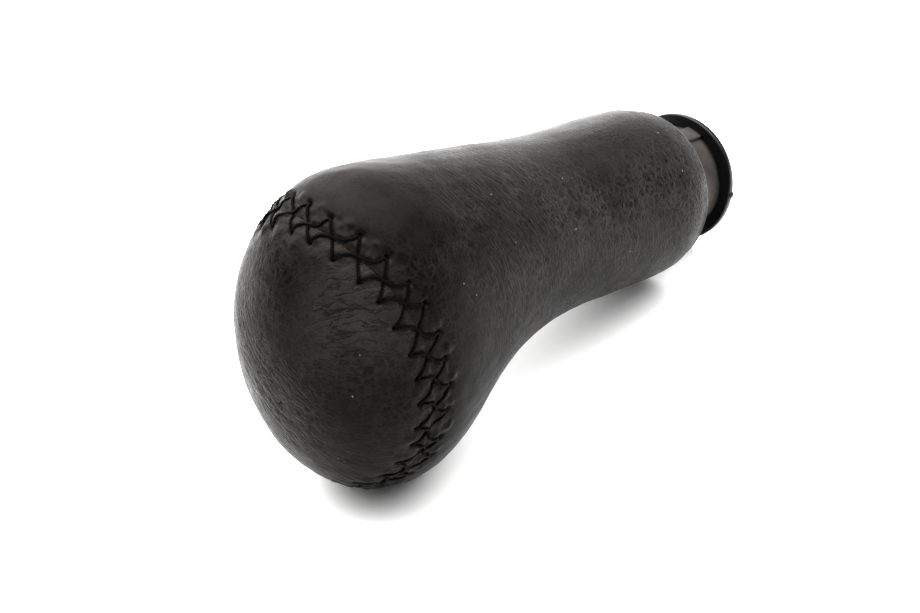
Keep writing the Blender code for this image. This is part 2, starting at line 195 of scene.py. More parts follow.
class Skin:
    """The leather's plain outer face, measured along its meridians from the lip."""

    def __init__(self, stitches):
        shares = np.linspace(0.0, 1.0, TABLE_STEPS + 1)
        self.angles = stitch_angles(stitches)[0]
        self.distances = LIP_AT + (SPINE_LENGTH - LIP_AT) * np.sin(shares * math.pi / 2.0)
        points = skin_point(self.distances[:, None], self.angles[None, :])
        steps = np.linalg.norm(np.diff(points, axis=0), axis=2)
        self.lengths = np.concatenate([np.zeros((1, len(self.angles))), np.cumsum(steps, axis=0)])
        self.seam = self.length(seam_at(self.angles)[None, :])[0]
        self.crown = self.lengths[-1]

    def length(self, distances):
        """Lengths from the lip, a column for each meridian."""
        columns = [np.interp(distances[:, j], self.distances, self.lengths[:, j])
                   for j in range(len(self.angles))]
        return np.stack(columns, axis=1)

    def place(self, lengths, height):
        """Points at lengths along the meridians, at a height over the skin."""
        columns = [np.interp(lengths[:, j], self.lengths[:, j], self.distances)
                   for j in range(len(self.angles))]
        distance = np.minimum(np.stack(columns, axis=1), SPINE_LENGTH - CROWN_MARGIN)
        angle = self.angles[None, :]
        here = skin_point(distance, angle)
        onward = skin_point(distance + PROBE_STEP, angle) - here
        around = skin_point(distance, angle + PROBE_TURN) - here
        normal = np.cross(around, onward)
        normal /= np.maximum(np.linalg.norm(normal, axis=2, keepdims=True), SHORTEST_NORMAL)
        return here + np.asarray(height)[..., None] * normal


def leg(number, share, from_cap):
    """Offset from the seam and stitch of a thread on its way to the next hole: straight over from
    a cap hole, or out of a sleeve hole and then along the seam."""
    first, last = (1, 0) if from_cap else (0, 1)
    number = np.asarray(number)
    run = 1.0 - 2.0 * share
    hook = np.sign(run) * np.abs(run) ** SLEEVE_LEG_POWER
    sweep = run if from_cap else -SLEEVE_LEG_SLANT * run - (1.0 - SLEEVE_LEG_SLANT) * hook
    start = number % STITCHES
    end = (number + 1) % STITCHES
    across = HOLE_ACROSS[first][start] * (1.0 - share) + HOLE_ACROSS[last][end] * share
    along = HOLE_ALONG[first][start] * (1.0 - share) + HOLE_ALONG[last][end] * share
    bow = LEG_BOW[first][start] * np.sin(math.pi * share)
    return HOLE_OFFSET * sweep + across, number + share + along + bow


def leg_distance(offset, stitch):
    """Distance in the leather's plane from the nearest thread, around the stitch."""
    nearest = np.full(offset.shape, 1.0)
    cell = np.floor(stitch).astype(int)
    for from_cap in (True, False):
        for share in np.linspace(0.0, 1.0, LEG_STEPS):
            for shift in (-1, 0, 1):
                across, place = leg(cell + shift, share, from_cap)
                nearest = np.minimum(nearest, np.hypot(offset - across, (stitch - place) * PITCH))
    return nearest


def hole_distance(offset, stitch):
    """Distance in the leather's plane from the nearest hole."""
    number = np.round(stitch).astype(int)
    side = (offset > 0.0).astype(int)
    across = HOLE_OFFSET * np.sign(offset) + HOLE_ACROSS[side, number % STITCHES]
    along = number + HOLE_ALONG[side, number % STITCHES]
    return np.hypot(offset - across, (stitch - along) * PITCH)


def ripple(points, wavelength, seed):
    """Smooth irregular waves through space, about from -1 to 1."""
    waves = np.random.default_rng(seed)
    total = np.zeros(points.shape[:-1])
    for _ in range(RIPPLE_WAVES):
        direction = waves.normal(size=3)
        stretch = waves.uniform(*RIPPLE_STRETCH)
        direction *= 2.0 * math.pi / wavelength / np.linalg.norm(direction) * stretch
        total += np.cos(points @ direction + waves.uniform(0.0, 2.0 * math.pi))
    return total / RIPPLE_WAVES * RIPPLE_SCALE


def swelling(offset, stitch, form):
    """A soft swelling of the leather, repeated with every stitch."""
    height, at_offset, at_stitch, across, along = form
    number = np.round(stitch - at_stitch)
    apart = (stitch - at_stitch - number) * PITCH
    level = 1.0 + SWELLING_VARIATION * SWELLING_SCATTER[number.astype(int) % STITCHES]
    away = ((offset - at_offset) / across) ** 2 + (apart / along) ** 2
    return height * level * np.exp(-away)


def pressed(stitch):
    """How far the knob's weight flattens the lacing, around its lowest stitch."""
    apart = (stitch / STITCHES + 0.5) % 1.0 - 0.5
    return np.exp(-(apart / PRESSED_REACH) ** 2)


def lacing_relief(offset, stitch):
    """Height of the leather near the seam: drawn in by the threads, puffed up between them."""
    beside = np.abs(offset) - HOLE_OFFSET
    groove = SEAM_DIP * np.exp(-(offset / GROOVE_REACH) ** 2)
    inward = (np.minimum(beside, 0.0) / DRAWN_INWARD) ** 2
    drawn = DRAWN_DEPTH * np.exp(-inward - (beside / DRAWN_OUTWARD) ** 2)
    hole = HOLE_DEPTH * np.exp(-(hole_distance(offset, stitch) / HOLE_REACH) ** 2)
    puffs = swelling(offset, stitch, SLEEVE_PUFF) + swelling(offset, stitch, CAP_PUFF)
    diamonds = swelling(offset, stitch, CAP_DIAMOND) + swelling(offset, stitch, SLEEVE_DIAMOND)
    relief = puffs + diamonds - groove - hole - drawn
    return relief * (1.0 - PRESSED_RELIEF * pressed(stitch))


# Mesh building

def to_world(points):
    """Points of the knob's frame, laid on the ground."""
    turn = np.array(KNOB.to_3x3())
    return points @ turn.T + np.array(COLLAR_CENTRE)


def grid_piece(name, points, tip=None, attributes=None):
    """A smooth piece through rows of world points, each row closed round the knob."""
    rows, columns = points.shape[:2]
    vertices = points.reshape(-1, 3).tolist()
    following = (np.arange(columns) + 1) % columns
    low = np.arange(rows - 1)[:, None] * columns
    quads = np.stack([low + np.arange(columns), low + following,
                      low + columns + following, low + columns + np.arange(columns)], axis=2)
    faces = quads.reshape(-1, 4).tolist()
    if tip is not None:
        vertices.append(list(tip))
        last = (rows - 1) * columns
        faces += [(last + k, last + (k + 1) % columns, len(vertices) - 1) for k in range(columns)]
    mesh = bpy.data.meshes.new(name)
    mesh.from_pydata(vertices, [], faces)
    mesh.shade_smooth()
    for key, values in (attributes or {}).items():
        width = 1 if values.ndim == 2 else values.shape[2]
        layer = mesh.attributes.new(key, "FLOAT" if width == 1 else "FLOAT_VECTOR", "POINT")
        flat = np.zeros((len(vertices), width), dtype=np.float32)
        flat[:rows * columns] = values.reshape(-1, width)
        if tip is not None:
            flat[-1] = values[-1].reshape(-1, width).mean(axis=0)
        layer.data.foreach_set("value" if width == 1 else "vector", flat.reshape(-1))
    return add_piece(name, mesh)


def add_piece(name, mesh):
    """An object of the mesh that rides with the knob."""
    mesh.update()
    piece = bpy.data.objects.new(name, mesh)
    bpy.context.scene.collection.objects.link(piece)
    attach(piece, "root")
    return piece


def outward(piece):
    """Turns the piece's faces outward."""
    build = bmesh.new()
    build.from_mesh(piece.data)
    bmesh.ops.recalc_face_normals(build, faces=build.faces[:])
    build.to_mesh(piece.data)
    build.free()
    return piece


def smooth_step(value, low, high):
    """Rises smoothly from 0 at low to 1 at high."""
    share = np.clip((value - low) / (high - low), 0.0, 1.0)
    return share * share * (3.0 - 2.0 * share)


# Leather

GROUND_CLEARANCE = 0.00003
SEAM_GAP = 0.00002
EDGE_ROUND = 0.00012
COVER_RADIUS = 0.0203
CREASE_SLANT = 6.25
CROWN_OPENING = 0.0002

# Rows: their spacing at the seam, and how it grows beyond the lacing
ROW_SPACING = 0.00014
ROW_GROWTH = 0.055

# Unevenness of the leather everywhere and along the lacing: height, wavelength and seed
WAVES = ((0.00011, 0.012, 3), (0.00005, 0.004, 4))
LACED_WAVES = (0.00014, 0.0014, 5)
LACED_BAND = 0.0034

# Rows down the cut edge in the seam: distance from the edge, and depth
CUT_EDGE = ((0.0, 0.00125), (0.0, 0.00006), (0.00001, 0.00002), (0.00003, 0.00001))

# Turned-in lip: angles of its rounding, then how far in and how deep, and the leather's end
LIP_TURNS = (18.0, 36.0, 54.0, 72.0, 90.0)
LIP_FACE = ((0.3, 0.00012), (0.65, 0.0002), (1.0, 0.00022))
LIP_DEPTH = 0.0012
LIP_CLEARANCE = 0.0003
# Painted highlight with some wear on the lip: rows of its rounded edge, their share, and the share
# on the turned-in face
LIP_HIGHLIGHT_ROWS = 4
LIP_WEAR_AND_HIGHLIGHT = 0.8
LIP_FACE_WEAR_AND_HIGHLIGHT = 0.25

# Places round the knob, as shares of the seam from its lowest point, each with its reach
CREASED_AT = 0.392
CREASED_AROUND = 0.068
RIM_AT = 0.604
RIM_AROUND = 0.092
BOTTOM_AT = 0.063
BOTTOM_AROUND = 0.104
LOW_AT = 0.188
LOW_AROUND = 0.108
FOLDED_AT = 0.83

# Places along the leather: the creased patch from the seam, the waist and barrel from the collar
CREASED_OFFSET = 0.0072
CREASED_ACROSS = 0.0075
WAIST_AT = 0.063
WAIST_REACH = 0.013
BARREL_END = 0.060
HEAD_START = 0.080
# Lightening along the seam, partly wear and partly painted highlight: its share and reach
SEAM_WEAR_AND_HIGHLIGHT = 0.16
SEAM_WEAR_AND_HIGHLIGHT_REACH = 0.0030
SLEEVE_DRAWN_REACH = 0.006

# Where looks fade: metres from the crown's middle, then shares of the seam
DRAWN_FADE = (0.004, 0.014)
CROWN_FOLDS_FADE = (0.004, 0.013)
FAR_FOLDS_FADE = (0.16, 0.30)
CAP_PEBBLES_FADE = (0.29, 0.42)
SLEEVE_PEBBLES_FADE = (0.383, 0.479)

# How strong looks are where they are weakest, and what is added or taken elsewhere
FOLDED_LEAST = 0.22
DRAWN_LEAST = 0.25
SLEEVE_DRAWN = 0.5
RINGED_LEAST = 0.45
BARREL_RINGS = 0.1
LOW_BARREL_RINGS = 0.8
CAP_PEBBLES = 0.35
FRONT_PEBBLES = 0.2
CREASED_PEBBLES = 0.5
SLEEVE_PEBBLES = 0.42
LOW_SMOOTHED = 0.6
TOP_SMOOTHED = 0.65


def seam_spacing(reach):
    """Distances from the seam, close together near it and wider farther out."""
    steps = [0.0]
    while steps[-1] < reach:
        steps.append(steps[-1] + ROW_SPACING + ROW_GROWTH * max(steps[-1] - LACED_REACH, 0.0))
    return np.array(steps[:-1])


def stitch_places(skin, offsets):
    """Place of each column along the seam, counted in stitches, in every row of offsets."""
    return np.arange(len(skin.angles)) / COLUMNS_PER_STITCH + np.zeros_like(offsets)


def leather_rows(skin, offsets):
    """World points of leather rows at offsets from the seam, with all its relief."""
    lengths = skin.seam[None, :] + offsets
    stitch = stitch_places(skin, offsets)
    height = lacing_relief(offsets, stitch)
    near = np.abs(offsets).max(axis=1) < LACED_REACH
    dent = np.zeros_like(offsets)
    depth = THREAD_DENT * (1.0 - PRESSED_DENT * pressed(stitch[near]))
    apart = leg_distance(offsets[near], stitch[near])
    dent[near] = depth * np.exp(-(apart / THREAD_DENT_REACH) ** 2)
    height = height - dent
    plain = skin.place(lengths, np.zeros_like(offsets))
    for level, wavelength, seed in WAVES:
        height = height + level * ripple(plain, wavelength, seed)
    level, wavelength, seed = LACED_WAVES
    band = np.exp(-(offsets / LACED_BAND) ** 6) * (1.0 - pressed(stitch))
    height = height + level * band * ripple(plain, wavelength, seed)
    points = to_world(skin.place(lengths, height))
    points[..., 2] = np.maximum(points[..., 2], GROUND_CLEARANCE)
    return points


def edge_rows(skin, side):
    """Rows down the cut edge of the leather in the seam."""
    rows = []
    for offset, drop in CUT_EDGE:
        offsets = np.full((1, len(skin.angles)), side * (SEAM_GAP / 2.0 + offset))
        height = lacing_relief(offsets, stitch_places(skin, offsets)) - drop
        rows.append(to_world(skin.place(skin.seam[None, :] + offsets, height)))
    return np.concatenate(rows)


def bump_at(value, middle, reach):
    """Soft bump round a value, from 0 to 1."""
    return np.exp(-((value - middle) / reach) ** 2)


def at_least(least, share):
    """A share raised so that it starts at a least value."""
    return least + (1.0 - least) * share


def cover_place(around, offsets):
    """Places in a space in which the leather lies round a cylinder along the seam."""
    turn = 2.0 * math.pi * around
    return np.stack([COVER_RADIUS * np.cos(turn), COVER_RADIUS * np.sin(turn), offsets], axis=-1)


def masks(skin, offsets, lip_rows=0):
    """Places on the cover, and where the leather is pebbled, creased, folded, drawn in towards the
    seam and ringed, and where wear and a painted highlight lighten it."""
    lengths = np.clip(skin.seam[None, :] + offsets, 0.0, skin.crown[None, :])
    distance = np.stack([np.interp(lengths[:, j], skin.lengths[:, j], skin.distances)
                         for j in range(len(skin.angles))], axis=1)
    around = stitch_places(skin, offsets) / STITCHES
    on_cap = offsets > 0.0

    patch = bump_at(around, CREASED_AT, CREASED_AROUND)
    patch = patch * bump_at(offsets, CREASED_OFFSET, CREASED_ACROSS)
    from_crown = skin.crown[None, :] - lengths
    far_side = 1.0 - smooth_step(np.abs(around - FOLDED_AT), *FAR_FOLDS_FADE)
    crown = 1.0 - smooth_step(from_crown, *CROWN_FOLDS_FADE)
    rim = bump_at(around, RIM_AT, RIM_AROUND) + bump_at(around, BOTTOM_AT, BOTTOM_AROUND)
    cap_drawn = smooth_step(from_crown, *DRAWN_FADE) * at_least(DRAWN_LEAST, rim)
    cap_pebbles = CAP_PEBBLES + FRONT_PEBBLES * smooth_step(around, *CAP_PEBBLES_FADE)

    barrel = 1.0 - smooth_step(distance, BARREL_END, HEAD_START)
    low_side = bump_at(around, LOW_AT, LOW_AROUND)
    ringed = bump_at(distance, WAIST_AT, WAIST_REACH) * at_least(RINGED_LEAST, low_side)
    ringed = ringed + barrel * (BARREL_RINGS + LOW_BARREL_RINGS * low_side)
    sleeve_pebbles = at_least(SLEEVE_PEBBLES, barrel) * (1.0 - LOW_SMOOTHED * low_side)
    smoothed_top = TOP_SMOOTHED * smooth_step(around, *SLEEVE_PEBBLES_FADE)
    sleeve_pebbles = sleeve_pebbles * (1.0 - smoothed_top)

    # Lightening by wear and painted highlight along the seam, and on the lip, where the highlight
    # stands for light caught by its rounded edge
    wear_and_highlight = SEAM_WEAR_AND_HIGHLIGHT * np.exp(-(offsets / SEAM_WEAR_AND_HIGHLIGHT_REACH) ** 4)
    if lip_rows:
        wear_and_highlight[-lip_rows:] = LIP_FACE_WEAR_AND_HIGHLIGHT
        wear_and_highlight[-lip_rows:-lip_rows + LIP_HIGHLIGHT_ROWS] = LIP_WEAR_AND_HIGHLIGHT
    return {
        "cover": cover_place(around, offsets),
        "slanted": cover_place(around - offsets * CREASE_SLANT, offsets),
        "pebbled": np.where(on_cap, cap_pebbles + CREASED_PEBBLES * patch, sleeve_pebbles),
        "creased": np.where(on_cap, patch, 0.0),
        "folded": np.where(on_cap, at_least(FOLDED_LEAST, np.maximum(far_side, crown)), 0.0),
        "drawn": np.where(on_cap, cap_drawn, np.exp(offsets / SLEEVE_DRAWN_REACH) * SLEEVE_DRAWN),
        "ringed": np.where(on_cap, 0.0, np.clip(ringed, 0.0, 1.0)),
        "wear_and_highlight": wear_and_highlight,
    }


def spread_rows(reach):
    """Distances of rows from the seam, stretched so that the last row lies at the reach."""
    spacing = seam_spacing(reach.max())
    scale = reach[None, :] / spacing[-1]
    blend = (spacing / spacing[-1])[:, None] ** 2
    return SEAM_GAP / 2.0 + EDGE_ROUND + spacing[:, None] * (1.0 + (scale - 1.0) * blend)


def leather_sleeve(skin):
    """Leather of stem and lower head, with its lip turned in towards the neck."""
    first = skin.length(np.full((1, len(skin.angles)), LIP_AT + LIP_EDGE))[0]
    offsets = -spread_rows(skin.seam - SEAM_GAP / 2.0 - EDGE_ROUND - first)
    points = leather_rows(skin, offsets)
    lip = []
    last_radius = half_size(np.array(LIP_AT + LIP_EDGE), HEAD_HALF_WIDTH)
    for turn in np.radians(LIP_TURNS):
        lip.append((LIP_AT + LIP_EDGE * (1.0 - math.sin(turn)),
                    last_radius - LIP_EDGE * (1.0 - math.cos(turn))))
    rounded_in = lip[-1][1]
    turned_in = NECK_RADIUS + LIP_CLEARANCE
    for share, sink in LIP_FACE:
        lip.append((LIP_AT + sink, rounded_in + (turned_in - rounded_in) * share))
    lip.append((LIP_AT + LIP_DEPTH, turned_in))
    lip_rows = to_world(np.stack([ring_point(d, skin.angles, r, r) for d, r in lip]))
    lip_rows[..., 2] = np.maximum(lip_rows[..., 2], GROUND_CLEARANCE)
    edge = edge_rows(skin, -1.0)
    every = np.concatenate([edge, points, lip_rows])
    edge_offsets = np.full((len(edge), len(skin.angles)), -SEAM_GAP / 2.0)
    lip_offsets = np.repeat(offsets[-1:], len(lip_rows), axis=0)
    all_offsets = np.concatenate([edge_offsets, offsets, lip_offsets])
    piece = grid_piece("sleeve_leather", every,
                       attributes=masks(skin, all_offsets, len(lip_rows)))
    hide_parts("leather_sleeve")
    return outward(piece)


def leather_cap(skin):
    """Leather of the crown."""
    reach = skin.crown - skin.seam - SEAM_GAP / 2.0 - EDGE_ROUND - CROWN_OPENING
    offsets = spread_rows(reach)
    points = leather_rows(skin, offsets)
    edge = edge_rows(skin, 1.0)
    edge_offsets = np.full((len(edge), len(skin.angles)), SEAM_GAP / 2.0)
    all_offsets = np.concatenate([edge_offsets, offsets])
    piece = grid_piece("cap_leather", np.concatenate([edge, points]),
                       tip=points[-1].mean(axis=0), attributes=masks(skin, all_offsets))
    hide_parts("leather_cap")
    return outward(piece)


# Lacing

# Thread: its plies and their twist, and how finely its path is drawn
PLY_RADIUS = 0.000145
PLY_OFFSET = 0.00012
TWIST_LENGTH = 0.0010
PLY_SIDES = 6
PATH_SPACING = 0.00011
LEG_POINTS = 41
LEG_RISE = 0.16
HOLE_SINKS = (0.0016, 0.0007)
SHORTEST_STEP = 1e-7
SMOOTHINGS = 3
SLANTING = (0.3, 0.5, 0.8)

# Height of a thread's middle over the leather, and how it changes where two threads cross
CAP_LEG_HEIGHT = 0.00008
CAP_LEG_DIP = 0.00020
SLEEVE_LEG_HEIGHT = 0.00014
SLEEVE_LEG_HUMP = 0.00018
CROSSING_SHARE = 0.15


def leg_path(first_side, number):
    """Points of one leg of a thread, from deep in its hole over the seam to the next hole."""
    from_cap = (number % 2 == 0) == (first_side > 0.0)
    shares = np.concatenate([[0.0, 0.0], np.linspace(0.0, 1.0, LEG_POINTS), [1.0, 1.0]])
    sinks = np.zeros(len(shares))
    sinks[:2] = HOLE_SINKS
    sinks[-2:] = HOLE_SINKS[::-1]
    offsets, stitch = leg(number, shares, from_cap)
    skin = Skin(stitch)
    rise = smooth_step(1.0 - np.abs(1.0 - 2.0 * shares), 0.0, LEG_RISE)
    crossing = np.exp(-((shares - 0.5) / CROSSING_SHARE) ** 2)
    if from_cap:
        over = CAP_LEG_HEIGHT - CAP_LEG_DIP * crossing
    else:
        over = SLEEVE_LEG_HEIGHT + SLEEVE_LEG_HUMP * crossing
    height = lacing_relief(offsets, stitch) + over * rise - sinks - PRESSED_SINK * pressed(stitch)
    return to_world(skin.place((skin.seam + offsets)[None, :], height[None, :])[0])


def smoothed(points, spacing):
    """The path with its points evenly spaced and its corners softened."""
    steps = np.linalg.norm(np.diff(points, axis=0), axis=1)
    keep = np.concatenate([[True], steps > SHORTEST_STEP])
    points = points[keep]
    steps = np.linalg.norm(np.diff(points, axis=0), axis=1)
    lengths = np.concatenate([[0.0], np.cumsum(steps)])
    count = int(lengths[-1] / spacing) + 2
    even = np.linspace(0.0, lengths[-1], count)
    path = np.stack([np.interp(even, lengths, points[:, k]) for k in range(3)], axis=1)
    for _ in range(SMOOTHINGS):
        path[1:-1] = (path[:-2] + 2.0 * path[1:-1] + path[2:]) / 4.0
    return path


def crosswise(path):
    """Two directions across a path at each of its points."""
    tangents = np.gradient(path, axis=0)
    tangents /= np.linalg.norm(tangents, axis=1, keepdims=True)
    first = np.cross(tangents[0], SLANTING)
    sides = [first / np.linalg.norm(first)]
    for tangent in tangents[1:]:
        side = sides[-1] - tangent * (sides[-1] @ tangent)
        sides.append(side / np.linalg.norm(side))
    sides = np.array(sides)
    return sides, np.cross(tangents, sides)


def tube(path, vertices, faces):
    """Adds a ply with closed ends along a path to lists of vertices and faces."""
    across, up = crosswise(path)
    start = len(vertices)
    angles = np.arange(PLY_SIDES) / PLY_SIDES * 2.0 * math.pi
    ring = PLY_RADIUS * (np.cos(angles)[:, None] * across[:, None, :]
                         + np.sin(angles)[:, None] * up[:, None, :])
    vertices += (path[:, None, :] + ring).reshape(-1, 3).tolist()
    for i in range(len(path) - 1):
        for k in range(PLY_SIDES):
            a = start + i * PLY_SIDES + k
            b = start + i * PLY_SIDES + (k + 1) % PLY_SIDES
            faces.append((a, b, b + PLY_SIDES, a + PLY_SIDES))
    faces.append(tuple(start + k for k in range(PLY_SIDES))[::-1])
    last = start + (len(path) - 1) * PLY_SIDES
    faces.append(tuple(last + k for k in range(PLY_SIDES)))


def lacing(name, first_side, node):
    """One of the two laced threads, twisted from two plies."""
    vertices = []
    faces = []
    for number in range(STITCHES):
        path = smoothed(leg_path(first_side, number), PATH_SPACING)
        across, up = crosswise(path)
        steps = np.linalg.norm(np.diff(path, axis=0), axis=1)
        lengths = np.concatenate([[0.0], np.cumsum(steps)])
        for ply in range(2):
            turn = 2.0 * math.pi * lengths / TWIST_LENGTH + ply * math.pi
            twist = np.cos(turn)[:, None] * across + np.sin(turn)[:, None] * up
            tube(path + PLY_OFFSET * twist, vertices, faces)
    mesh = bpy.data.meshes.new(name)
    mesh.from_pydata(vertices, [], faces)
    mesh.shade_smooth()
    piece = add_piece(name, mesh)
    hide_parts(node)
    return piece


# Collar and bush

# Sizes along the spine and from it, with those of lug and nib and how deep these reach in
FLANGE_RADIUS = 0.0114
FLANGE_THICKNESS = 0.0014
COLLAR_LENGTH = 0.0160
COLLAR_BORE_RADIUS = 0.0070
BORE_ROUNDING = 0.0003
FLANGE_ROUNDING = 0.0005
FLANGE_BACK_ROUNDING = 0.0004
NECK_FILLET = 0.00012
NECK_ROUNDING = 0.0004
LUG_ANGLE = math.radians(170.0)
LUG_WIDTH = 0.0030
LUG_LENGTH = 0.0052
LUG_HEIGHT = 0.0007
LUG_ROUNDING = 0.0002
LUG_ROOT = 0.001
NIB_ANGLE = math.radians(95.0)
NIB_WIDTH = 0.0012
NIB_HEIGHT = 0.00035
NIB_START = 0.0001
NIB_LENGTH = 0.0012
NIB_ROUNDING = 0.00045
NIB_ROOT = 0.0012
BUSH_START = 0.0163
BUSH_END = 0.0283
BUSH_BORE_RADIUS = 0.0060
BUSH_RADIUS = 0.0088
BUSH_ROUNDING = 0.0005

# Fineness of collar and bush, and the longest cut at a corner as a share of its shorter side
COLLAR_SEGMENTS = 256
BUSH_SEGMENTS = 128
CORNER_STEPS = 5
LONGEST_CUT = 0.45
BEVEL_SEGMENTS = 4
BLOCK_CUTS = np.linspace(-0.4, 0.4, 9)


def turned_piece(name, profile, segments):
    """A ring turned about the straight part of the spine from (distance, radius) corners."""
    angles = np.arange(segments) / segments * 2.0 * math.pi
    rows = [ring_point(distance, angles, radius, radius) for distance, radius in profile]
    rows.append(rows[0])
    return outward(grid_piece(name, to_world(np.stack(rows))))


def rounded(corners):
    """A closed profile from (distance, radius, rounding) corners."""
    result = []
    count = len(corners)
    for k, (distance, radius, rounding) in enumerate(corners):
        here = np.array((distance, radius))
        before = np.array(corners[k - 1][:2]) - here
        after = np.array(corners[(k + 1) % count][:2]) - here
        to_before = np.linalg.norm(before)
        to_after = np.linalg.norm(after)
        cut = min(rounding, to_before * LONGEST_CUT, to_after * LONGEST_CUT)
        start = here + before / to_before * cut
        end = here + after / to_after * cut
        for share in np.linspace(0.0, 1.0, CORNER_STEPS):
            a = start + (here - start) * share
            b = here + (end - here) * share
            result.append(tuple(a + (b - a) * share))
    return result


def bent_block(name, start, length, angle, width, low, high, rounding):
    """A rounded block lying round the straight part of the spine."""
    build = bmesh.new()
    bmesh.ops.create_cube(build, size=1.0)
    size = Vector((length, width, high - low))
    bmesh.ops.scale(build, vec=size, verts=build.verts[:])
    bmesh.ops.bevel(build, geom=build.edges[:], offset=rounding, segments=BEVEL_SEGMENTS,
                    affect="EDGES", profile=0.5)
    for share in BLOCK_CUTS:
        every = build.verts[:] + build.edges[:] + build.faces[:]
        bmesh.ops.bisect_plane(build, geom=every, plane_co=(0.0, width * share, 0.0),
                               plane_no=(0.0, 1.0, 0.0))
    middle = (low + high) / 2.0
    for vertex in build.verts:
        along, across, out = vertex.co
        radius = middle + out
        vertex.co = Vector(ring_point(start + length / 2.0 + along, angle + across / middle,
                                      radius, radius).tolist())
    build.transform(KNOB)
    mesh = bpy.data.meshes.new(name)
    build.to_mesh(mesh)
    build.free()
    mesh.shade_smooth()
    return outward(add_piece(name, mesh))


def gaiter_collar():
    """Neck and flange at the lever end, with the lug on the neck and a nib left by the mould."""
    profile = rounded([
        (0.0, COLLAR_BORE_RADIUS, BORE_ROUNDING),
        (0.0, FLANGE_RADIUS, FLANGE_ROUNDING),
        (FLANGE_THICKNESS, FLANGE_RADIUS, FLANGE_BACK_ROUNDING),
        (FLANGE_THICKNESS, NECK_RADIUS, NECK_FILLET),
        (COLLAR_LENGTH, NECK_RADIUS, NECK_ROUNDING),
        (COLLAR_LENGTH, COLLAR_BORE_RADIUS, BORE_ROUNDING),
    ])
    collar = turned_piece("collar", profile, COLLAR_SEGMENTS)
    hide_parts("gaiter_collar")
    lug = bent_block("collar_lug", FLANGE_THICKNESS / 2.0, LUG_LENGTH, LUG_ANGLE, LUG_WIDTH,
                     NECK_RADIUS - LUG_ROOT, NECK_RADIUS + LUG_HEIGHT, LUG_ROUNDING)
    nib = bent_block("collar_nib", NIB_START, NIB_LENGTH, NIB_ANGLE, NIB_WIDTH,
                     FLANGE_RADIUS - NIB_ROOT, FLANGE_RADIUS + NIB_HEIGHT, NIB_ROUNDING)
    return [collar, lug, nib]


def lever_bush():
    """Bush in the bore."""
    profile = rounded([
        (BUSH_START, BUSH_BORE_RADIUS, BUSH_ROUNDING),
        (BUSH_START, BUSH_RADIUS, BUSH_ROUNDING),
        (BUSH_END, BUSH_RADIUS, BUSH_ROUNDING),
        (BUSH_END, BUSH_BORE_RADIUS, BUSH_ROUNDING),
    ])
    piece = turned_piece("bush", profile, BUSH_SEGMENTS)
    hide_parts("lever_bush")
    return piece


# Materials

# How the crown's leather is folded, and how places are stretched for long lines
FOLD_DIRECTION = (0.0, -0.775, -0.632)
FOLD_STRETCH = 0.78
EVEN = (1.0, 1.0, 1.0)
ALONG_COVER = (1.0, 1.0, 0.12)
ALONG_CREASES = (1.0, 1.0, 0.25)
ROUND_KNOB = (0.14, 0.14, 1.0)
STREAK_STRETCH = (0.3, 0.3, 1.0)

# How many cells or lines a metre holds, and how wide the lines between them are
NET = (600.0, 0.28)
SMALL_NET = (1250.0, 0.26)
DRAWN_LINES = (750.0, 0.06)
RINGED_LINES = (1500.0, 0.07)
CREASED_LINES = (620.0, 0.06)
FOLDED_LINES = (760.0, 0.09)
CRINKLED_LINES = (1500.0, 0.07)

# How nets and lines are warped: waves in a metre, and how far they shift a place
NET_WARP = (480.0, 0.0011)
DRAWN_WARP = (260.0, 0.0011)
CREASED_WARP = (330.0, 0.0022)
FOLDED_WARP = (260.0, 0.0022)
CRINKLED_WARP = (700.0, 0.0008)
STREAK_WARP = (300.0, 0.0008)

# Noises: waves in a metre, detail and roughness
PATCHES = (110.0, 2.0)
TONES = (130.0, 4.0)
STREAKS = (1700.0, 3.0, 0.6)
FINE_GRAIN = (3800.0, 3.0, 0.6)
FIBRES = (5200.0, 3.0, 0.6)
THREAD_TONES = (700.0, 2.0)
MATT_SKIN = (2600.0, 3.0)
PLASTIC_TONES = (260.0, 3.0)
GRIME = (420.0, 4.0, 0.6)
BRASS_TONES = (320.0, 3.0)
SPECK_CELLS = 260.0
SPECK_EDGE = (0.018, 0.032)
DUST_FADE = 0.0007

# Over which values of a noise, slope or relief a look changes, and from which share to which
PATCHY = (0.32, 0.6, 0.35, 1.0)
FADED = (0.4, 0.7)
STREAKED = (0.5, 0.72)
FACING_UP = (0.55, 0.97)
DUSTY = (0.25, 0.7, 0.45, 0.8)
PALE_PATCH = (0.3, 0.6, 0.3, 0.8)
PALE_RIDGES = (0.35, 0.65, 0.0, 0.5)
# Over which depth of the creases and folds painted shade darkens them, and from which share to
# which
SHADED_CREASES = (0.1, 1.2, 0.0, 0.5)
ROUGHENED = (0.3, 0.7)
GRIMY = (0.3, 0.65, 0.6, 1.0)

# Shares in which looks are added together
NET_SHARE = 0.7
SMALL_NET_SHARE = 0.6
SUNK_FOLDS = 0.5
SUNK_CRINKLES = 0.4
PALE_NET = 0.6
RING_STREAKS = 0.4
LEAST_STREAKS = 0.06
# Share of the wear and painted highlight mixed in
WEAR_AND_HIGHLIGHT_SHARE = 0.8

# Height of net, lines and grain in metres
NET_HEIGHT = 0.000040
DRAWN_HEIGHT = -0.000028
RINGED_HEIGHT = -0.000055
CREASED_HEIGHT = -0.00022
FOLDED_HEIGHT = -0.000048
CRINKLED_HEIGHT = -0.000013
FINE_HEIGHT = 0.000009

# Relief of thread and plastic: height in metres, and strength of its shading
FIBRE_RELIEF = (0.00004, 0.7)
MATT_RELIEF = (0.00004, 0.4)
COLLAR_RELIEF = (0.00003, 0.5)

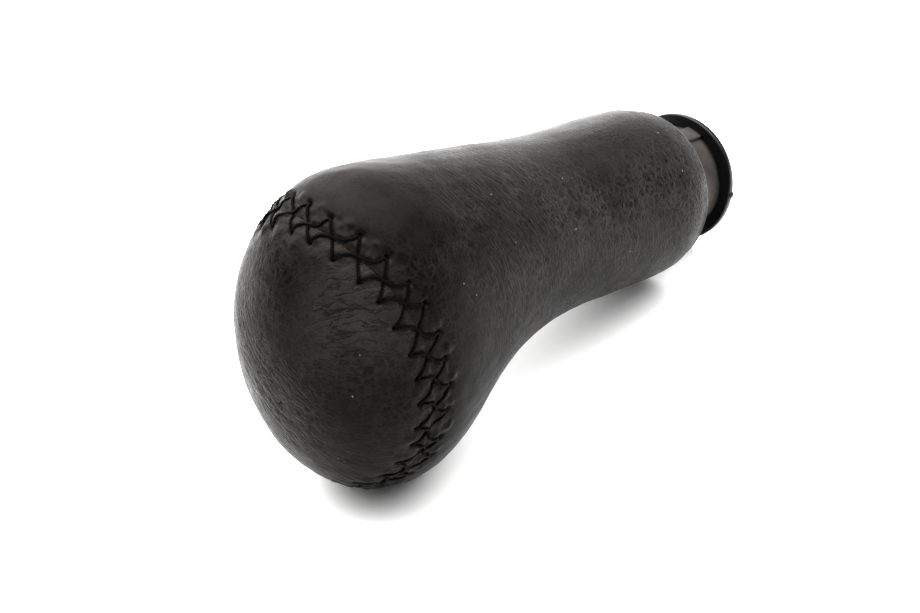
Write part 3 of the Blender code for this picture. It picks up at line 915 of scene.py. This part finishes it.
# Colours
BLACK = (0.0010, 0.0009, 0.0008, 1.0)
FADED_BLACK = (0.0024, 0.0021, 0.0019, 1.0)
NET_COLOUR = (0.026, 0.0225, 0.0202, 1.0)
STREAK_COLOUR = (0.017, 0.0135, 0.0115, 1.0)
DUST_COLOUR = (0.0125, 0.0110, 0.0098, 1.0)
PATCH_COLOUR = (0.029, 0.0255, 0.0230, 1.0)
RIDGE_COLOUR = (0.0125, 0.0100, 0.0085, 1.0)
# Paler brown of wear, also used as painted highlight on the lip and along the seam
WEAR_AND_HIGHLIGHT_COLOUR = (0.045, 0.038, 0.034, 1.0)
SPECK_COLOUR = (0.32, 0.31, 0.29, 1.0)
# Painted shade: near-black colour laid into creases and folds
CREASE_SHADE_COLOUR = (0.0008, 0.0007, 0.0006, 1.0)
LEATHER_TINT = (1.0, 0.95, 0.91, 1.0)
THREAD_BLACK = (0.0006, 0.0006, 0.0006, 1.0)
THREAD_GREY = (0.0022, 0.0020, 0.0018, 1.0)
CORE_BLACK = (0.02, 0.02, 0.021, 1.0)
CORE_GREY = (0.035, 0.034, 0.033, 1.0)
FLANGE_BLACK = (0.0022, 0.0022, 0.0022, 1.0)
DUSTY_NECK = (0.032, 0.0275, 0.0235, 1.0)
DARK_BRASS = (0.55, 0.38, 0.17, 1.0)
LIGHT_BRASS = (0.72, 0.53, 0.26, 1.0)

# How rough surfaces are and how much they shine, from 0 to 1
LEATHER_ROUGH = (0.29, 0.37)
NET_ROUGH = -0.06
LEATHER_SHINE = 0.014
NET_SHINE = 0.004
# Shine left in creases and folds as their depth grows, dimmed as painted shade
CREASE_SHADED_SHINE = (1.1, 0.15)
THREAD_ROUGH = 0.42
THREAD_SHINE = 0.02
CORE_ROUGH = 0.6
FLANGE_ROUGH = 0.30
DUST_ROUGH = 0.25
COLLAR_SHINE = 0.16
BRASS_ROUGH = (0.3, 0.45)


class Shader:
    """Builds a material's or a world's nodes from short calls."""

    def __init__(self, block, surface="Principled BSDF"):
        block.use_nodes = True
        self.block = block
        self.nodes = block.node_tree.nodes
        self.links = block.node_tree.links
        self.surface = self.nodes[surface]

    def add(self, kind, inputs=None, output=0, **settings):
        """Adds a node, sets or links its inputs, and returns one of its outputs."""
        node = self.nodes.new(kind)
        for key, value in settings.items():
            setattr(node, key, value)
        for key, value in (inputs or {}).items():
            self.fill(node.inputs[key], value)
        return node.outputs[output]

    def fill(self, socket, value):
        """Links an output to a socket, or sets the socket to a value."""
        if isinstance(value, bpy.types.NodeSocket):
            self.links.new(value, socket)
        else:
            socket.default_value = value

    def math(self, operation, first, second=0.0, third=0.0, clamp=False):
        """A value worked out from others."""
        inputs = {0: first, 1: second, 2: third}
        return self.add("ShaderNodeMath", inputs, operation=operation, use_clamp=clamp)

    def ramp(self, value, low, high, start=0.0, end=1.0):
        """A value moved smoothly from one range to another."""
        inputs = {"Value": value, "From Min": low, "From Max": high, "To Min": start, "To Max": end}
        return self.add("ShaderNodeMapRange", inputs, interpolation_type="SMOOTHSTEP")

    def vector_math(self, operation, first, second, output=0):
        """A place or direction worked out from two others."""
        return self.add("ShaderNodeVectorMath", {0: first, 1: second}, output, operation=operation)

    def scaled(self, vector, scale):
        """A direction made longer or shorter."""
        return self.add("ShaderNodeVectorMath", {0: vector, 3: scale}, operation="SCALE")

    def mix(self, share, first, second):
        """A colour mixed from two."""
        inputs = {0: share, 6: first, 7: second}
        return self.add("ShaderNodeMix", inputs, output=2, data_type="RGBA")

    def bump(self, height, distance=1.0, strength=1.0):
        """Relief from heights in metres, or from shares of a distance."""
        inputs = {"Strength": strength, "Distance": distance, "Height": height}
        return self.add("ShaderNodeBump", inputs)

    def noise(self, vector, scale, detail, roughness=0.5):
        """Values of a noise of a given number of waves per metre."""
        inputs = {"Vector": vector, "Scale": scale, "Detail": detail, "Roughness": roughness}
        return self.add("ShaderNodeTexNoise", inputs)

    def net_lines(self, vector, scale, width):
        """Lines between the cells of an irregular net."""
        inputs = {"Vector": vector, "Scale": scale}
        cells = self.add("ShaderNodeTexVoronoi", inputs, feature="DISTANCE_TO_EDGE")
        return self.ramp(cells, 0.0, width, 1.0, 0.0)

    def crease_lines(self, vector, stretch, scale, width):
        """Long thin lines, stretched out along one direction of the leather."""
        waves = self.noise(self.vector_math("MULTIPLY", vector, stretch), scale, 2.0)
        apart = self.math("ABSOLUTE", self.math("SUBTRACT", waves, 0.5))
        return self.ramp(apart, 0.0, width, 1.0, 0.0)

    def warped(self, vector, place, scale, reach):
        """Places shifted a little by an irregular noise."""
        inputs = {"Vector": place, "Scale": scale, "Detail": 3.0}
        waves = self.add("ShaderNodeTexNoise", inputs, output=1)
        shift = self.vector_math("SUBTRACT", waves, (0.5, 0.5, 0.5))
        return self.vector_math("ADD", vector, self.scaled(shift, reach))

    def combed(self, vector):
        """Places drawn together along the direction in which the crown's leather is folded."""
        along = self.vector_math("DOT_PRODUCT", vector, FOLD_DIRECTION, 1)
        shift = self.scaled(self.scaled(FOLD_DIRECTION, along), FOLD_STRETCH)
        return self.vector_math("SUBTRACT", vector, shift)

    def attribute(self, name):
        """A value stored in the mesh."""
        return self.add("ShaderNodeAttribute", output=2, attribute_name=name)

    def finish(self, **inputs):
        """Fills the surface's sockets and gives the material or world."""
        for key, value in inputs.items():
            self.fill(self.surface.inputs[key.replace("_", " ")], value)
        return self.block


def new_material(name):
    """A builder for a new material."""
    return Shader(bpy.data.materials.new(name))


def leather_relief(s, place, cover):
    """Net, sunk lines and the height of both: creases drawn by the seam and rings at the waist."""
    bent = s.warped(place, place, *NET_WARP)
    net = s.net_lines(bent, *NET)
    small_net = s.net_lines(bent, *SMALL_NET)
    patches = s.ramp(s.noise(place, *PATCHES), *PATCHY)
    pebbled = s.math("MULTIPLY", s.attribute("pebbled"), patches)
    lines = s.math("MULTIPLY", net, NET_SHARE)
    lines = s.math("MULTIPLY_ADD", small_net, SMALL_NET_SHARE, lines)
    lines = s.math("MULTIPLY", lines, pebbled)

    slanted = s.add("ShaderNodeAttribute", output=1, attribute_name="slanted")
    drawn = s.crease_lines(s.warped(cover, place, *DRAWN_WARP), ALONG_COVER, *DRAWN_LINES)
    drawn = s.math("MULTIPLY", drawn, s.attribute("drawn"))
    ringed = s.crease_lines(cover, ROUND_KNOB, *RINGED_LINES)
    ringed = s.math("MULTIPLY", ringed, s.attribute("ringed"))
    bent = s.warped(slanted, place, *CREASED_WARP)
    creased = s.crease_lines(bent, ALONG_CREASES, *CREASED_LINES)
    creased = s.math("MULTIPLY", creased, s.attribute("creased"))
    bent = s.combed(s.warped(place, place, *FOLDED_WARP))
    folded = s.crease_lines(bent, EVEN, *FOLDED_LINES)
    folded = s.math("MULTIPLY", folded, s.attribute("folded"))
    bent = s.warped(place, place, *CRINKLED_WARP)
    crinkled = s.crease_lines(bent, EVEN, *CRINKLED_LINES)
    fine = s.noise(place, *FINE_GRAIN)

    height = s.math("MULTIPLY", lines, NET_HEIGHT)
    for part, part_height in ((drawn, DRAWN_HEIGHT), (ringed, RINGED_HEIGHT),
                              (creased, CREASED_HEIGHT), (folded, FOLDED_HEIGHT),
                              (crinkled, CRINKLED_HEIGHT), (fine, FINE_HEIGHT)):
        height = s.math("MULTIPLY_ADD", part, part_height, height)
    # Depth of creases, crinkles and folds, used below for painted shade
    sunk = s.math("MULTIPLY_ADD", crinkled, SUNK_CRINKLES, creased)
    sunk = s.math("MULTIPLY_ADD", folded, SUNK_FOLDS, sunk)
    return lines, sunk, height


def leather_material(name):
    """Black leather with wear and dust, its raised net paler than its creases. Painted shade
    darkens the creases and dims their shine; a painted highlight, mixed with wear, lightens the lip
    and the leather along the seam.
    """
    s = new_material(name)
    place = s.add("ShaderNodeTexCoord", output=3)
    cover = s.add("ShaderNodeAttribute", output=1, attribute_name="cover")
    lines, sunk, height = leather_relief(s, place, cover)

    tone = s.noise(place, *TONES)
    colour = s.mix(s.ramp(tone, *FADED), BLACK, FADED_BLACK)
    colour = s.mix(s.math("MULTIPLY", lines, PALE_NET, clamp=True), colour, NET_COLOUR)
    streaks = s.vector_math("MULTIPLY", cover, STREAK_STRETCH)
    streak = s.noise(s.warped(streaks, place, *STREAK_WARP), *STREAKS)
    streaked = s.math("MULTIPLY_ADD", s.attribute("ringed"), RING_STREAKS, LEAST_STREAKS)
    streak = s.math("MULTIPLY", s.ramp(streak, *STREAKED), streaked)
    colour = s.mix(streak, colour, STREAK_COLOUR)
    facing = s.add("ShaderNodeNewGeometry", output=1)
    upward = s.add("ShaderNodeSeparateXYZ", {0: facing}, output=2)
    dust = s.math("MULTIPLY", s.ramp(upward, *FACING_UP), s.ramp(tone, *DUSTY))
    colour = s.mix(dust, colour, DUST_COLOUR)
    patch = s.math("MULTIPLY", s.attribute("creased"), s.ramp(tone, *PALE_PATCH))
    colour = s.mix(patch, colour, PATCH_COLOUR)
    ridges = s.math("MULTIPLY", s.attribute("folded"), s.ramp(tone, *PALE_RIDGES))
    colour = s.mix(ridges, colour, RIDGE_COLOUR)
    # Wear and painted highlight: lip and seam lightened
    colour = s.mix(s.math("MULTIPLY", s.attribute("wear_and_highlight"), WEAR_AND_HIGHLIGHT_SHARE), colour, WEAR_AND_HIGHLIGHT_COLOUR)
    specks = s.add("ShaderNodeTexVoronoi", {"Vector": place, "Scale": SPECK_CELLS})
    colour = s.mix(s.ramp(specks, *SPECK_EDGE, 1.0, 0.0), colour, SPECK_COLOUR)
    # Painted shade: creases and folds darkened
    colour = s.mix(s.ramp(sunk, *SHADED_CREASES), colour, CREASE_SHADE_COLOUR)

    rough = s.ramp(tone, *ROUGHENED, *LEATHER_ROUGH)
    rough = s.math("MULTIPLY_ADD", lines, NET_ROUGH, rough)
    shine = s.math("MULTIPLY_ADD", lines, NET_SHINE, LEATHER_SHINE)
    # Painted shade: shine dimmed in the creases and folds
    shine = s.math("MULTIPLY", shine, s.ramp(sunk, 0.0, 1.0, *CREASE_SHADED_SHINE))
    return s.finish(Base_Color=colour, Roughness=rough, Normal=s.bump(height),
                    Specular_IOR_Level=shine, Specular_Tint=LEATHER_TINT)


def thread_material():
    """Black waxed thread."""
    s = new_material("lacing_thread")
    place = s.add("ShaderNodeTexCoord", output=3)
    bump = s.bump(s.noise(place, *FIBRES), *FIBRE_RELIEF)
    colour = s.mix(s.noise(place, *THREAD_TONES), THREAD_BLACK, THREAD_GREY)
    return s.finish(Base_Color=colour, Roughness=THREAD_ROUGH, Normal=bump,
                    Specular_IOR_Level=THREAD_SHINE)


def core_material():
    """Moulded plastic with a fine matt skin."""
    s = new_material("core_plastic")
    place = s.add("ShaderNodeTexCoord", output=3)
    bump = s.bump(s.noise(place, *MATT_SKIN), *MATT_RELIEF)
    colour = s.mix(s.noise(place, *PLASTIC_TONES), CORE_BLACK, CORE_GREY)
    return s.finish(Base_Color=colour, Roughness=CORE_ROUGH, Normal=bump)


def collar_material():
    """Moulded black plastic: the flange rubbed glossy, the neck dulled by dust."""
    s = new_material("collar_plastic")
    place = s.add("ShaderNodeTexCoord", output=3)
    apart = s.vector_math("SUBTRACT", place, COLLAR_CENTRE)
    spine = Vector((1.0, 0.0, 0.0))
    spine.rotate(KNOB.to_3x3())
    along = s.vector_math("DOT_PRODUCT", apart, spine, 1)
    dusty = s.ramp(along, -FLANGE_THICKNESS - DUST_FADE, -FLANGE_THICKNESS, 1.0, 0.0)
    dust = s.math("MULTIPLY", dusty, s.ramp(s.noise(place, *GRIME), *GRIMY))
    colour = s.mix(dust, FLANGE_BLACK, DUSTY_NECK)
    bump = s.bump(s.noise(place, *MATT_SKIN), *COLLAR_RELIEF)
    rough = s.math("MULTIPLY_ADD", dust, DUST_ROUGH, FLANGE_ROUGH)
    return s.finish(Base_Color=colour, Roughness=rough, Normal=bump,
                    Specular_IOR_Level=COLLAR_SHINE)


def brass_material():
    """Turned brass, a little dull."""
    s = new_material("turned_brass")
    place = s.add("ShaderNodeTexCoord", output=3)
    tone = s.noise(place, *BRASS_TONES)
    colour = s.mix(tone, DARK_BRASS, LIGHT_BRASS)
    rough = s.ramp(tone, *ROUGHENED, *BRASS_ROUGH)
    return s.finish(Base_Color=colour, Roughness=rough, Metallic=1.0)


def give(piece, material):
    """The piece's only material."""
    piece.data.materials.clear()
    piece.data.materials.append(material)


# The knob's pieces

columns = np.arange(STITCHES * COLUMNS_PER_STITCH) / COLUMNS_PER_STITCH
skin = Skin(columns)
sleeve = leather_sleeve(skin)
cap = leather_cap(skin)
give(sleeve, leather_material("sleeve_leather"))
give(cap, leather_material("cap_leather"))

thread = thread_material()
lower = lacing("lacing_lower", 1.0, "lacing_thread_under")
upper = lacing("lacing_upper", -1.0, "lacing_thread_over")
give(lower, thread)
give(upper, thread)

collar_finish = collar_material()
for piece in gaiter_collar():
    give(piece, collar_finish)
bush = lever_bush()
give(bush, brass_material())

core_finish = core_material()
for material_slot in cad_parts["grip_core"].material_slots:
    material_slot.material = core_finish


# Ground: paper that is seen white, directly and in reflections

GROUND_REACH = 3.0
PAPER_GREY = (0.60, 0.60, 0.60, 1.0)
PAPER_WHITE = (1.20, 1.20, 1.195, 1.0)

corners = [(x * GROUND_REACH, y * GROUND_REACH, 0.0)
           for x, y in ((-1, -1), (1, -1), (1, 1), (-1, 1))]
ground_mesh = bpy.data.meshes.new("ground")
ground_mesh.from_pydata(corners, [], [(0, 1, 2, 3)])
ground = bpy.data.objects.new("ground", ground_mesh)
bpy.context.scene.collection.objects.link(ground)
paper = new_material("white_ground")
by_camera = paper.add("ShaderNodeLightPath", output="Is Camera Ray")
in_gloss = paper.add("ShaderNodeLightPath", output="Is Glossy Ray")
through_glass = paper.add("ShaderNodeLightPath", output="Is Transmission Ray")
seen = paper.math("MAXIMUM", by_camera, paper.math("MAXIMUM", in_gloss, through_glass))
diffuse = paper.add("ShaderNodeBsdfDiffuse", {"Color": paper.mix(seen, PAPER_GREY, PAPER_WHITE)})
paper.links.new(diffuse, paper.nodes["Material Output"].inputs["Surface"])
ground_mesh.materials.append(paper.block)


# Surroundings: light from a wall behind the knob and from above, dim towards the camera

VIEW_DIRECTION = (0.578, 0.516, -0.632)
VIEW_RIGHT = (0.654, -0.7565, -0.02)

ROOM_LIGHT = 0.12
WALL_LIGHT = 9.5
TOP_LIGHT = 13.0

# Directions over which the light changes, as parts along the view, to its right and upwards, with
# what is left of the light on the dim side
WALL_AWAY = (-0.4, 0.3, 0.0)
WALL_ASIDE = (-0.30, 0.40, 0.08)
WALL_UPWARD = (0.05, 0.50, 0.12)
TOP_UPWARD = (0.55, 0.97, 0.0)
TOP_AWAY = (-0.95, -0.45, 0.05)

world = bpy.data.worlds.new("studio")
bpy.context.scene.world = world
room = Shader(world, "Background")
direction = room.add("ShaderNodeTexCoord", output=0)
away = room.vector_math("DOT_PRODUCT", direction, VIEW_DIRECTION, 1)
aside = room.vector_math("DOT_PRODUCT", direction, VIEW_RIGHT, 1)
upward = room.add("ShaderNodeSeparateXYZ", {0: direction}, output=2)
low, high, left = WALL_ASIDE
wall = room.math("MULTIPLY", room.ramp(away, *WALL_AWAY, WALL_LIGHT),
                 room.ramp(aside, low, high, 1.0, left))
wall = room.math("MULTIPLY", wall, room.ramp(upward, *WALL_UPWARD, 1.0))
top = room.math("MULTIPLY", room.ramp(upward, *TOP_UPWARD, TOP_LIGHT),
                room.ramp(away, *TOP_AWAY, 1.0))
light = room.math("ADD", room.math("MAXIMUM", wall, top), ROOM_LIGHT)
room.finish(Color=(1.0, 1.0, 1.0, 1.0), Strength=light)


# Camera, placed in the knob's frame

CAMERA_PLACE = Vector((-0.34627, -0.19979, 0.15681))
CAMERA_FORWARD = Vector((0.7397, 0.5158, -0.4322)).normalized()
CAMERA_RIGHT = Vector((0.63, -0.7565, 0.1754))
CAMERA_LENS = 93.2
SENSOR_WIDTH = 36.0
NEAREST_SEEN = 0.01

up = CAMERA_RIGHT.cross(CAMERA_FORWARD).normalized()
right = CAMERA_FORWARD.cross(up)
turn = Matrix((right, up, -CAMERA_FORWARD)).transposed().to_4x4()
camera = bpy.data.objects.new("camera", bpy.data.cameras.new("camera"))
camera.data.lens = CAMERA_LENS
camera.data.sensor_width = SENSOR_WIDTH
camera.data.clip_start = NEAREST_SEEN
camera.matrix_world = KNOB @ Matrix.Translation(CAMERA_PLACE) @ turn
bpy.context.scene.collection.objects.link(camera)
bpy.context.scene.camera = camera
bpy.context.scene.view_settings.view_transform = "Standard"
